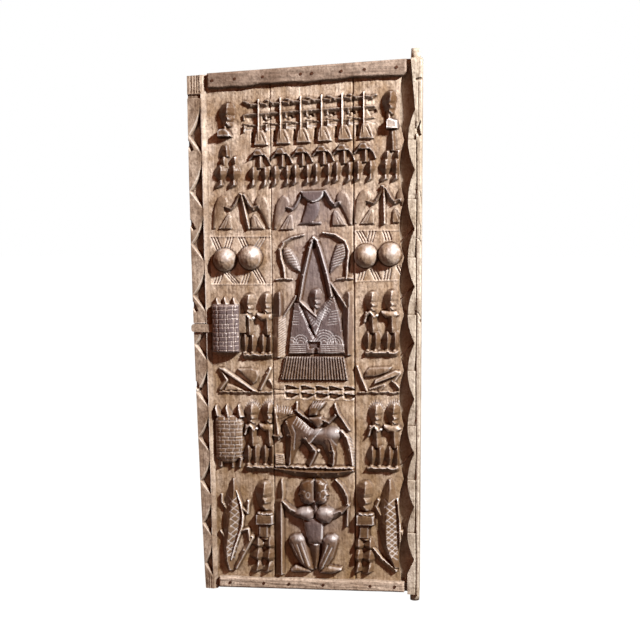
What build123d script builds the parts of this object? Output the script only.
from build123d import *
import os
from math import radians, tan

# Carved door leaf of a Dogon granary: three planks between a hinge stile with
# two turned pegs and a latch stile, a rail nailed across the head and the foot,
# and a wooden tumbler lock on the latch plank.
#
# Frame: origin on the axis of the lower peg, at its shoulder. +Z runs up the
# pegs' axis, +X towards the hinge side, and the carved front faces -Y. Millimetres.

# ---- the leaf as a whole ----
stile_length = 1600.0       # hinge stile between its two peg shoulders
peg_radius = 15.0
lower_peg_length = 22.0
upper_peg_length = 28.0
peg_edge_break = 2.0
rack_head = 2.4             # degrees the head line climbs towards the hinge
rack_foot = 1.6             # degrees the foot line climbs towards the hinge
foot_above_shoulder = 6.5   # foot line over the lower shoulder, at the peg axis
head_below_shoulder = 2.0   # head line under the upper shoulder, at the peg axis

# ---- depths, front to back ----
plank_front = -10.0         # carved ground of the planks, from the peg axis
plank_thickness = 32.0
stile_proud = 14.0          # stiles stand in front of the planks' ground
rail_thickness = 18.0

# ---- widths, at the head and at the foot, measured from the peg axis ----
hinge_outer_head = 20.0
hinge_outer_foot = 14.0
seam_right_head = -186.0
seam_right_foot = -181.0
seam_left_head = -438.5
seam_left_foot = -433.0
latch_inner_head = -636.0
latch_inner_foot = -618.0
latch_outer_head = -693.0
latch_outer_middle = -682.0
latch_outer_foot = -655.0
seam_gap = 1.6

# ---- lapped joint between a stile and its plank ----
lap_depth = 16.0            # plank's front tongue over the stile's back tongue
lap_width = 24.0
lap_clearance = 0.4

# ---- scalloped edges of the hinge side ----
scallop_count = 9
scallop_growth = 1.9        # each scallop is this much taller than the one below
first_scallop = 108.0       # lowest hollow, above the lower shoulder
last_scallop_below = 150.0  # highest hollow, under the upper shoulder
stile_scallop_crest = -20.0
stile_scallop_depth = 21.0
stile_head_set_back = 8.0   # stile's top corner, out from the crest line
plank_scallop_crest = -33.0
plank_scallop_depth = 15.0

# ---- wavy groove of the latch stile ----
groove_count = 10
groove_growth = 4.8         # each leaf of the groove is taller than the one below
groove_from = 38.0          # above the foot of the latch stile
groove_to = 66.0            # under its head
groove_depth = 20.0
ridge_head = 17.0           # ridge left between groove and plank
ridge_foot = 12.0
groove_rim = 4.0            # wood left outside each hollow of the groove
groove_bridge = 2.0         # and between one hollow and the next
groove_turn = 0.33          # each hollow is widest this far up its height
groove_bow = 0.56           # share of that width it has reached halfway down to there
latch_foot_drop = 6.0       # latch stile reaches under the foot line
latch_head_drop = 3.0       # and stays under the head line

# ---- end blocks marked off by a saw cut on both stiles ----
end_block = 62.0
block_cut_height = 5.0
block_cut_depth = 4.0
block_cut_length = 18.0

# ---- rails ----
top_rail_height = 46.0
bottom_rail_height = 34.0
rail_end_gap = 8.0          # between a rail's end and the stile beside it
top_rail_right = -25.0
bottom_rail_right = -30.0
rail_corner = 12.0
rail_edge_round = 3.0

# ---- nails ----
nail_radius = 2.5
nail_head_radius = 4.5
nail_head_height = 1.6
rail_nail_bite = 24.0       # rail nails in the wood behind the rail
top_rail_nails_x = (-611.0, -541.0, -455.0, -339.0, -305.0, -217.0, -148.0, -53.0)
bottom_rail_nails_x = (-573.0, -466.0, -386.0, -278.0, -133.0, -58.0)
staple_radius = 1.8
staple_depth = 4.0          # behind the planks' ground
staple_bite = 10.0          # each leg in the wood
staple_rise = 46.0          # degrees
staple_knee_gap = 7.0       # knee short of the stile's edge
hinge_staples_in = (2, 4, 5, 6)     # hollows counted from the foot
latch_staples_in = (2, 6, 8, 9)
latch_staple_reach = 12.0   # out from the ridge over the groove

# ---- lock ----
lock_width = 84.0
lock_height = 146.0
lock_left = -619.0
lock_bottom = 729.0
lock_edge_thickness = 27.0
lock_middle_thickness = 40.0
lock_corner = 4.0
bolt_thickness = 18.0
bolt_height = 56.0
bolt_lift = 60.0            # bolt's underside above the lock's underside
bolt_reach = 18.0           # bolt's end outside the lock when drawn back
bolt_clearance = 0.4
bolt_travel = 18.0
tongue_height = 24.0
tongue_corner = 8.4         # rounding of the tongue's tip
tongue_past_edge = 5.0      # tongue outside the latch stile when drawn back
tongue_notch_clearance = 1.2
key_hollow_height = 18.0
key_hollow_depth = 9.0
key_hollow_length = 62.0
tumbler_size = 10.0
tumbler_height = 16.0
tumbler_spacing = 36.0
tumbler_lift = 4.0
tumbler_clearance = 0.3
tumbler_edge_break = 1.0
pin_hole_clearance = 0.5
lock_nail_bite = 16.0
lock_nail_inset = 14.0      # nails from the lock's top and bottom
lock_nail_side_inset = 20.0

# ---- worked out from the above ----
plank_back = plank_front + plank_thickness
stile_front = plank_front - stile_proud
rail_front = plank_front - rail_thickness
foot_at_axis = foot_above_shoulder
head_at_axis = stile_length - head_below_shoulder
lap_front = plank_front + lap_depth


def foot_z(x):
    return foot_at_axis + x * tan(radians(rack_foot))


def head_z(x):
    return head_at_axis + x * tan(radians(rack_head))


def between(at_head, at_foot, z):
    """Value of an edge that runs straight from the head to the foot."""
    share = (z - foot_at_axis) / (head_at_axis - foot_at_axis)
    return at_foot + (at_head - at_foot) * share


def slab(outline, front, back):
    """Solid with an outline drawn in X and Z, from one depth to another."""
    return extrude(Plane.XZ.offset(-back) * outline, amount=back - front)


def block(x_low, x_high, y_low, y_high, z_low, z_high):
    size = (x_high - x_low, y_high - y_low, z_high - z_low)
    centre = ((x_low + x_high) / 2, (y_low + y_high) / 2, (z_low + z_high) / 2)
    return Pos(*centre) * Box(*size)


def face_from(edges):
    return make_face(Wire(edges))


def four_sided(left_head, left_foot, right_head, right_foot):
    """Outline of a board between two edges, cut off by the head and foot lines."""
    return Polygon(
        (left_foot, foot_z(left_foot)),
        (right_foot, foot_z(right_foot)),
        (right_head, head_z(right_head)),
        (left_head, head_z(left_head)),
        align=None,
    )


# ---- scalloped line shared by the hinge stile and its plank ----
def growing_steps(low, high, count, growth):
    """Heights from low to high in count steps, each taller than the one below."""
    first = (high - low) / count - growth * (count - 1) / 2
    return [low + i * first + growth * i * (i - 1) / 2 for i in range(count + 1)]


def scallop_heights():
    highest = stile_length - last_scallop_below
    return growing_steps(first_scallop, highest, scallop_count - 1, scallop_growth)


def scallop_crests():
    hollows = scallop_heights()
    return [(low + high) / 2 for low, high in zip(hollows, hollows[1:])]


def hinge_stile_outline():
    """Front of the hinge stile: a straight outer edge, bulging scallops inside."""
    deep = stile_scallop_crest + stile_scallop_depth
    hollows = scallop_heights()
    head_inner = (stile_scallop_crest + stile_head_set_back, stile_length)
    foot_crest = (stile_scallop_crest, end_block)
    edges = [
        Line((stile_scallop_crest, 0), (hinge_outer_foot, 0)),
        Line((hinge_outer_foot, 0), (hinge_outer_head, stile_length)),
        Line((hinge_outer_head, stile_length), head_inner),
        Line(head_inner, (deep, hollows[-1])),
    ]
    for low, crest, high in zip(hollows, scallop_crests(), hollows[1:]):
        edges.append(ThreePointArc((deep, high), (stile_scallop_crest, crest), (deep, low)))
    edges.append(Line((deep, hollows[0]), foot_crest))
    edges.append(Line(foot_crest, (stile_scallop_crest, 0)))
    return face_from(edges)


def plank_scallop_edge(low, high):
    """Wavy front edge of the hinge plank, from its foot to its head."""
    deep = plank_scallop_crest - plank_scallop_depth
    crests = [low] + scallop_crests() + [high]
    edges = []
    for start, hollow, end in zip(crests, scallop_heights(), crests[1:]):
        edges.append(ThreePointArc((plank_scallop_crest, start), (deep, hollow), (plank_scallop_crest, end)))
    return edges


# ---- nails ----
def straight_nail(x, z, head_at, length, inward):
    """Nail along Y: inward 1 goes in from the front, -1 from the back."""
    turn = Rotation(-90 * inward, 0, 0)
    shank = Cylinder(nail_radius, length, align=(Align.CENTER, Align.CENTER, Align.MIN))
    cap = Cylinder(nail_head_radius, nail_head_height, align=(Align.CENTER, Align.CENTER, Align.MAX))
    return Pos(x, head_at, z) * (turn * (shank + cap))


def rail_nails(places, middle_z):
    length = rail_thickness + rail_nail_bite
    return [straight_nail(x, middle_z(x), rail_front, length, 1) for x in places]


def top_rail_middle(x):
    return head_z(x) - top_rail_height / 2


def bottom_rail_middle(x):
    return foot_z(x) + bottom_rail_height / 2


def lock_nails():
    places = [
        (lock_middle_x(), lock_bottom + lock_height - lock_nail_inset),
        (lock_left + lock_nail_side_inset, lock_bottom + lock_nail_inset),
        (lock_right() - lock_nail_side_inset, lock_bottom + lock_nail_inset),
    ]
    length = plank_thickness + lock_nail_bite
    return [straight_nail(x, z, plank_back, length, -1) for x, z in places]


def staple(start, knee, end):
    """Round iron bent once, with a mitred knee."""
    section = Plane(origin=start, z_dir=knee - start) * Circle(staple_radius)
    return sweep(section, path=Polyline(start, knee, end), transition=Transition.RIGHT)


def hinge_staple(hollow):
    """Iron from the plank's scalloped edge slantwise up to the stile's."""
    y = plank_front + staple_depth
    knee_x = stile_scallop_crest + stile_scallop_depth - staple_knee_gap
    low_x = plank_scallop_crest - plank_scallop_depth - staple_bite
    climb = (knee_x - low_x) * tan(radians(staple_rise))
    knee = Vector(knee_x, y, hollow)
    start = Vector(low_x, y, hollow - climb)
    end = Vector(knee_x + staple_knee_gap + staple_bite, y, hollow + staple_knee_gap / 2)
    return staple(start, knee, end)


def latch_staple(hollow):
    """Iron out of the ridge, bent over into the floor of the groove."""
    floor = stile_front + groove_depth
    y = (stile_front + floor) / 2
    knee_x = latch_ridge(hollow) - latch_staple_reach
    start_x = latch_ridge(hollow) + staple_bite
    climb = (start_x - knee_x) * tan(radians(staple_rise / 2))
    knee = Vector(knee_x, y, hollow)
    start = Vector(start_x, y, hollow + climb)
    end = Vector(knee_x, floor + staple_bite, hollow)
    return staple(start, knee, end)


# ---- boards ----
def make_plank_left():
    seam_head = seam_left_head - seam_gap / 2
    seam_foot = seam_left_foot - seam_gap / 2
    front = four_sided(latch_inner_head, latch_inner_foot, seam_head, seam_foot)
    back = four_sided(latch_inner_head + lap_width, latch_inner_foot + lap_width, seam_head, seam_foot)
    return slab(front, plank_front, lap_front) + slab(back, lap_front, plank_back)


def make_plank_centre():
    outline = four_sided(seam_left_head + seam_gap / 2, seam_left_foot + seam_gap / 2,
                         seam_right_head - seam_gap / 2, seam_right_foot - seam_gap / 2)
    return slab(outline, plank_front, plank_back)


def make_plank_right():
    crest = plank_scallop_crest
    left_head = seam_right_head + seam_gap / 2
    left_foot = seam_right_foot + seam_gap / 2
    front = face_from([
        Line((left_foot, foot_z(left_foot)), (crest, foot_z(crest))),
        *plank_scallop_edge(foot_z(crest), head_z(crest)),
        Line((crest, head_z(crest)), (left_head, head_z(left_head))),
        Line((left_head, head_z(left_head)), (left_foot, foot_z(left_foot))),
    ])
    lap_edge = hinge_lap_edge() - lap_clearance
    back = four_sided(left_head, left_foot, lap_edge, lap_edge)
    return slab(front, plank_front, lap_front) + slab(back, lap_front, plank_back)


def hinge_lap_edge():
    return plank_scallop_crest - lap_width


# ---- stiles ----
def end_cut(x_low, x_high, z_low):
    front = stile_front - 1
    floor = stile_front + block_cut_depth
    return block(x_low, x_high, front, floor, z_low, z_low + block_cut_height)


def peg(z_low, z_high, break_low, break_high):
    upright = (Align.CENTER, Align.CENTER, Align.MIN)
    body = Pos(0, 0, z_low) * Cylinder(peg_radius, z_high - z_low, align=upright)
    rims = body.edges().filter_by(GeomType.CIRCLE).sort_by(Axis.Z)
    if break_low:
        return chamfer(rims[0], peg_edge_break)
    if break_high:
        return chamfer(rims[-1], peg_edge_break)
    return body


def make_hinge_stile():
    front = slab(hinge_stile_outline(), stile_front, plank_back)
    crest = plank_scallop_crest
    tongue_outline = Polygon(
        (hinge_lap_edge(), foot_z(crest)),
        (stile_scallop_crest + stile_scallop_depth, foot_z(crest)),
        (stile_scallop_crest + stile_scallop_depth, head_z(crest)),
        (hinge_lap_edge(), head_z(crest)),
        align=None,
    )
    tongue = slab(tongue_outline, lap_front + lap_clearance, plank_back)
    stile = front + tongue
    stile += peg(-lower_peg_length, 0, True, False)
    stile += peg(stile_length, stile_length + upper_peg_length, False, True)
    outer = hinge_outer_head + 1
    for z in (end_block, stile_length - end_block):
        stile -= end_cut(outer - block_cut_length, outer, z)
    return stile


def latch_inner(z):
    return between(latch_inner_head, latch_inner_foot, z)


def latch_ridge(z):
    """Left side of the ridge that stands between the wavy groove and the plank."""
    return latch_inner(z) - between(ridge_head, ridge_foot, z)


def latch_outer_arc():
    foot = foot_z(latch_outer_foot) - latch_foot_drop
    head = head_z(latch_outer_head) - latch_head_drop
    middle = (latch_outer_middle, (foot + head) / 2)
    return ThreePointArc((latch_outer_foot, foot), middle, (latch_outer_head, head))


def latch_stile_outline(inner_offset):
    outer = latch_outer_arc()
    foot = outer @ 0
    head = outer @ 1
    inner_foot = (latch_inner_foot + inner_offset, foot.Y)
    inner_head = (latch_inner_head + inner_offset, head_z(latch_inner_head) - latch_head_drop)
    return face_from([
        outer,
        Line(head, inner_head),
        Line(inner_head, inner_foot),
        Line(inner_foot, foot),
    ])


def latch_outer(z):
    """Outer edge of the latch stile at a height, on the same arc as its outline."""
    arc = latch_outer_arc()
    low = (arc @ 0).Y
    high = (arc @ 1).Y
    return (arc @ ((z - low) / (high - low))).X


def groove_hollow(low, high):
    """One hollow: it bows out downwards to the rim, then a straight slant closes it."""
    turn = low + groove_turn * (high - low)
    middle = (low + high) / 2
    widest = (latch_outer(turn) + groove_rim, turn)
    bowed_x = latch_ridge(middle) + groove_bow * (latch_outer(middle) + groove_rim - latch_ridge(middle))
    start = (latch_ridge(low), low)
    end = (latch_ridge(high), high)
    outline = face_from([
        Line(start, widest),
        ThreePointArc(widest, (bowed_x, middle), end),
        Line(end, start),
    ])
    return slab(outline, stile_front - 1, stile_front + groove_depth)


def groove_nodes():
    low = foot_z(latch_outer_foot) - latch_foot_drop + groove_from
    high = head_z(latch_outer_head) - latch_head_drop - groove_to
    return growing_steps(low, high, groove_count, groove_growth)


def groove_middles():
    nodes = groove_nodes()
    return [(low + high) / 2 for low, high in zip(nodes, nodes[1:])]


def make_latch_stile():
    stile = slab(latch_stile_outline(0), stile_front, plank_back)
    stile += slab(latch_stile_outline(lap_width - lap_clearance), lap_front + lap_clearance, plank_back)
    nodes = groove_nodes()
    for low, high in zip(nodes, nodes[1:]):
        stile -= groove_hollow(low + groove_bridge / 2, high - groove_bridge / 2)
    stile -= end_cut(latch_outer_head - 1, latch_ridge(nodes[-1]), nodes[-1])
    return stile - tongue_notch()


# ---- rails ----
def rail_blank(left, right, low_z, high_z):
    outline = Polygon(
        (left, low_z(left)),
        (right, low_z(right)),
        (right, high_z(right)),
        (left, high_z(left)),
        align=None,
    )
    return slab(outline, rail_front, plank_front)


def make_top_rail():
    left = latch_inner_head + rail_end_gap
    rail = rail_blank(left, top_rail_right, lambda x: head_z(x) - top_rail_height, head_z)
    corner = rail.edges().filter_by(Axis.Y).sort_by(Axis.X)[-2:].sort_by(Axis.Z)[0]
    rail = fillet(corner, rail_corner)
    return fillet(rail.faces().sort_by(Axis.Y)[0].edges(), rail_edge_round)


def make_bottom_rail():
    left = latch_inner_foot + rail_end_gap
    rail = rail_blank(left, bottom_rail_right, foot_z, lambda x: foot_z(x) + bottom_rail_height)
    return fillet(rail.faces().sort_by(Axis.Y)[0].edges(), rail_edge_round)


# ---- lock ----
def lock_middle_x():
    return lock_left + lock_width / 2


def lock_right():
    return lock_left + lock_width


def bolt_low():
    return lock_bottom + bolt_lift


def bolt_high():
    return bolt_low() + bolt_height


def bolt_front():
    return plank_front - bolt_clearance - bolt_thickness


def bolt_shoulder():
    """Where the bolt narrows to its tongue; it meets the stile when shot home."""
    return latch_inner(bolt_low() + bolt_height / 2) + bolt_travel + bolt_clearance


def tongue_tip():
    return latch_outer(bolt_low() + tongue_height / 2) - tongue_past_edge


def tumbler_places():
    half = tumbler_spacing / 2
    return (lock_middle_x() - half, lock_middle_x() + half)


def tongue_notch():
    gap = tongue_notch_clearance
    low = bolt_low() - gap
    high = bolt_low() + tongue_height + gap
    return block(latch_outer_head - 5, latch_inner_foot, stile_front - 1, plank_front + 0.1, low, high)


def make_lock_body():
    left = lock_left
    right = lock_right()
    middle = (lock_middle_x(), plank_front - lock_middle_thickness)
    edge_front = plank_front - lock_edge_thickness
    section = make_face(Wire([
        Line((left, plank_front), (right, plank_front)),
        Line((right, plank_front), (right, edge_front)),
        ThreePointArc((right, edge_front), middle, (left, edge_front)),
        Line((left, edge_front), (left, plank_front)),
    ]))
    body = extrude(Pos(0, 0, lock_bottom) * section, amount=lock_height)
    rims = body.faces().filter_by(GeomType.CYLINDER)[0].edges()
    body = fillet(rims, lock_corner)
    gap = bolt_clearance
    low = bolt_low() - gap
    high = bolt_high() + gap
    body -= block(left - 1, right + 1, bolt_front() - gap, plank_front + 1, low, high)
    reach = tumbler_size / 2 + tumbler_clearance
    front = tumbler_front() - tumbler_clearance
    top = bolt_high() + tumbler_height + tumbler_lift + 1
    for x in tumbler_places():
        body -= block(x - reach, x + reach, front, plank_front + 1, bolt_high(), top)
    return body


def tumbler_front():
    """Tumblers stand in the middle of the bolt's thickness."""
    return plank_front - bolt_clearance - bolt_thickness / 2 - tumbler_size / 2


def make_lock_bolt():
    right = lock_right() + bolt_reach
    back = plank_front - bolt_clearance
    bar = block(bolt_shoulder(), right, bolt_front(), back, bolt_low(), bolt_high())
    tongue = block(tongue_tip(), bolt_shoulder(), bolt_front(), back, bolt_low(), bolt_low() + tongue_height)
    tip_edges = tongue.edges().filter_by(Axis.Y).sort_by(Axis.X)[:2]
    tongue = fillet(tip_edges, tongue_corner)
    hollow_low = bolt_low() + (bolt_height - key_hollow_height) / 2
    hollow_front = bolt_front() + (bolt_thickness - key_hollow_depth) / 2
    hollow = block(right - key_hollow_length, right + 1, hollow_front, hollow_front + key_hollow_depth,
                   hollow_low, hollow_low + key_hollow_height)
    bolt = bar + tongue - hollow
    reach = tumbler_size / 2 + pin_hole_clearance
    for x in tumbler_places():
        home = x + bolt_travel
        bolt -= block(home - reach, home + reach, tumbler_front() - pin_hole_clearance,
                      tumbler_front() + tumbler_size + pin_hole_clearance,
                      hollow_low + key_hollow_height / 2, bolt_high() + 1)
    return bolt


def make_tumbler(x):
    half = tumbler_size / 2
    low = bolt_high() + tumbler_clearance
    front = tumbler_front()
    pin = block(x - half, x + half, front, front + tumbler_size, low, low + tumbler_height)
    return chamfer(pin.faces().sort_by(Axis.Z)[0].edges(), tumbler_edge_break)


# ---- everything ----
def drill(wood, nails):
    for nail in nails:
        wood -= nail
    return wood


def main():
    top_nails = rail_nails(top_rail_nails_x, top_rail_middle)
    bottom_nails = rail_nails(bottom_rail_nails_x, bottom_rail_middle)
    straight = top_nails + bottom_nails + lock_nails()
    hinge_staples = [hinge_staple(scallop_heights()[i]) for i in hinge_staples_in]
    latch_staples = [latch_staple(groove_middles()[i]) for i in latch_staples_in]
    left_tumbler_x, right_tumbler_x = tumbler_places()
    nodes = {
        "plank_left": drill(make_plank_left(), straight),
        "plank_centre": drill(make_plank_centre(), straight),
        "plank_right": drill(make_plank_right(), straight + hinge_staples),
        "hinge_stile": drill(make_hinge_stile(), straight + hinge_staples),
        "latch_stile": drill(make_latch_stile(), straight + latch_staples),
        "top_rail": drill(make_top_rail(), top_nails),
        "bottom_rail": drill(make_bottom_rail(), bottom_nails),
        "top_rail_nails": Compound(children=top_nails),
        "bottom_rail_nails": Compound(children=bottom_nails),
        "hinge_staples": Compound(children=hinge_staples),
        "latch_staples": Compound(children=latch_staples),
        "lock_body": drill(make_lock_body(), lock_nails()),
        "lock_nails": Compound(children=lock_nails()),
        "lock_bolt": make_lock_bolt(),
        "lock_tumbler_left": make_tumbler(left_tumbler_x),
        "lock_tumbler_right": make_tumbler(right_tumbler_x),
    }
    os.makedirs("parts", exist_ok=True)
    for name, shape in nodes.items():
        export_step(shape, os.path.join("parts", name + ".step"))


main()
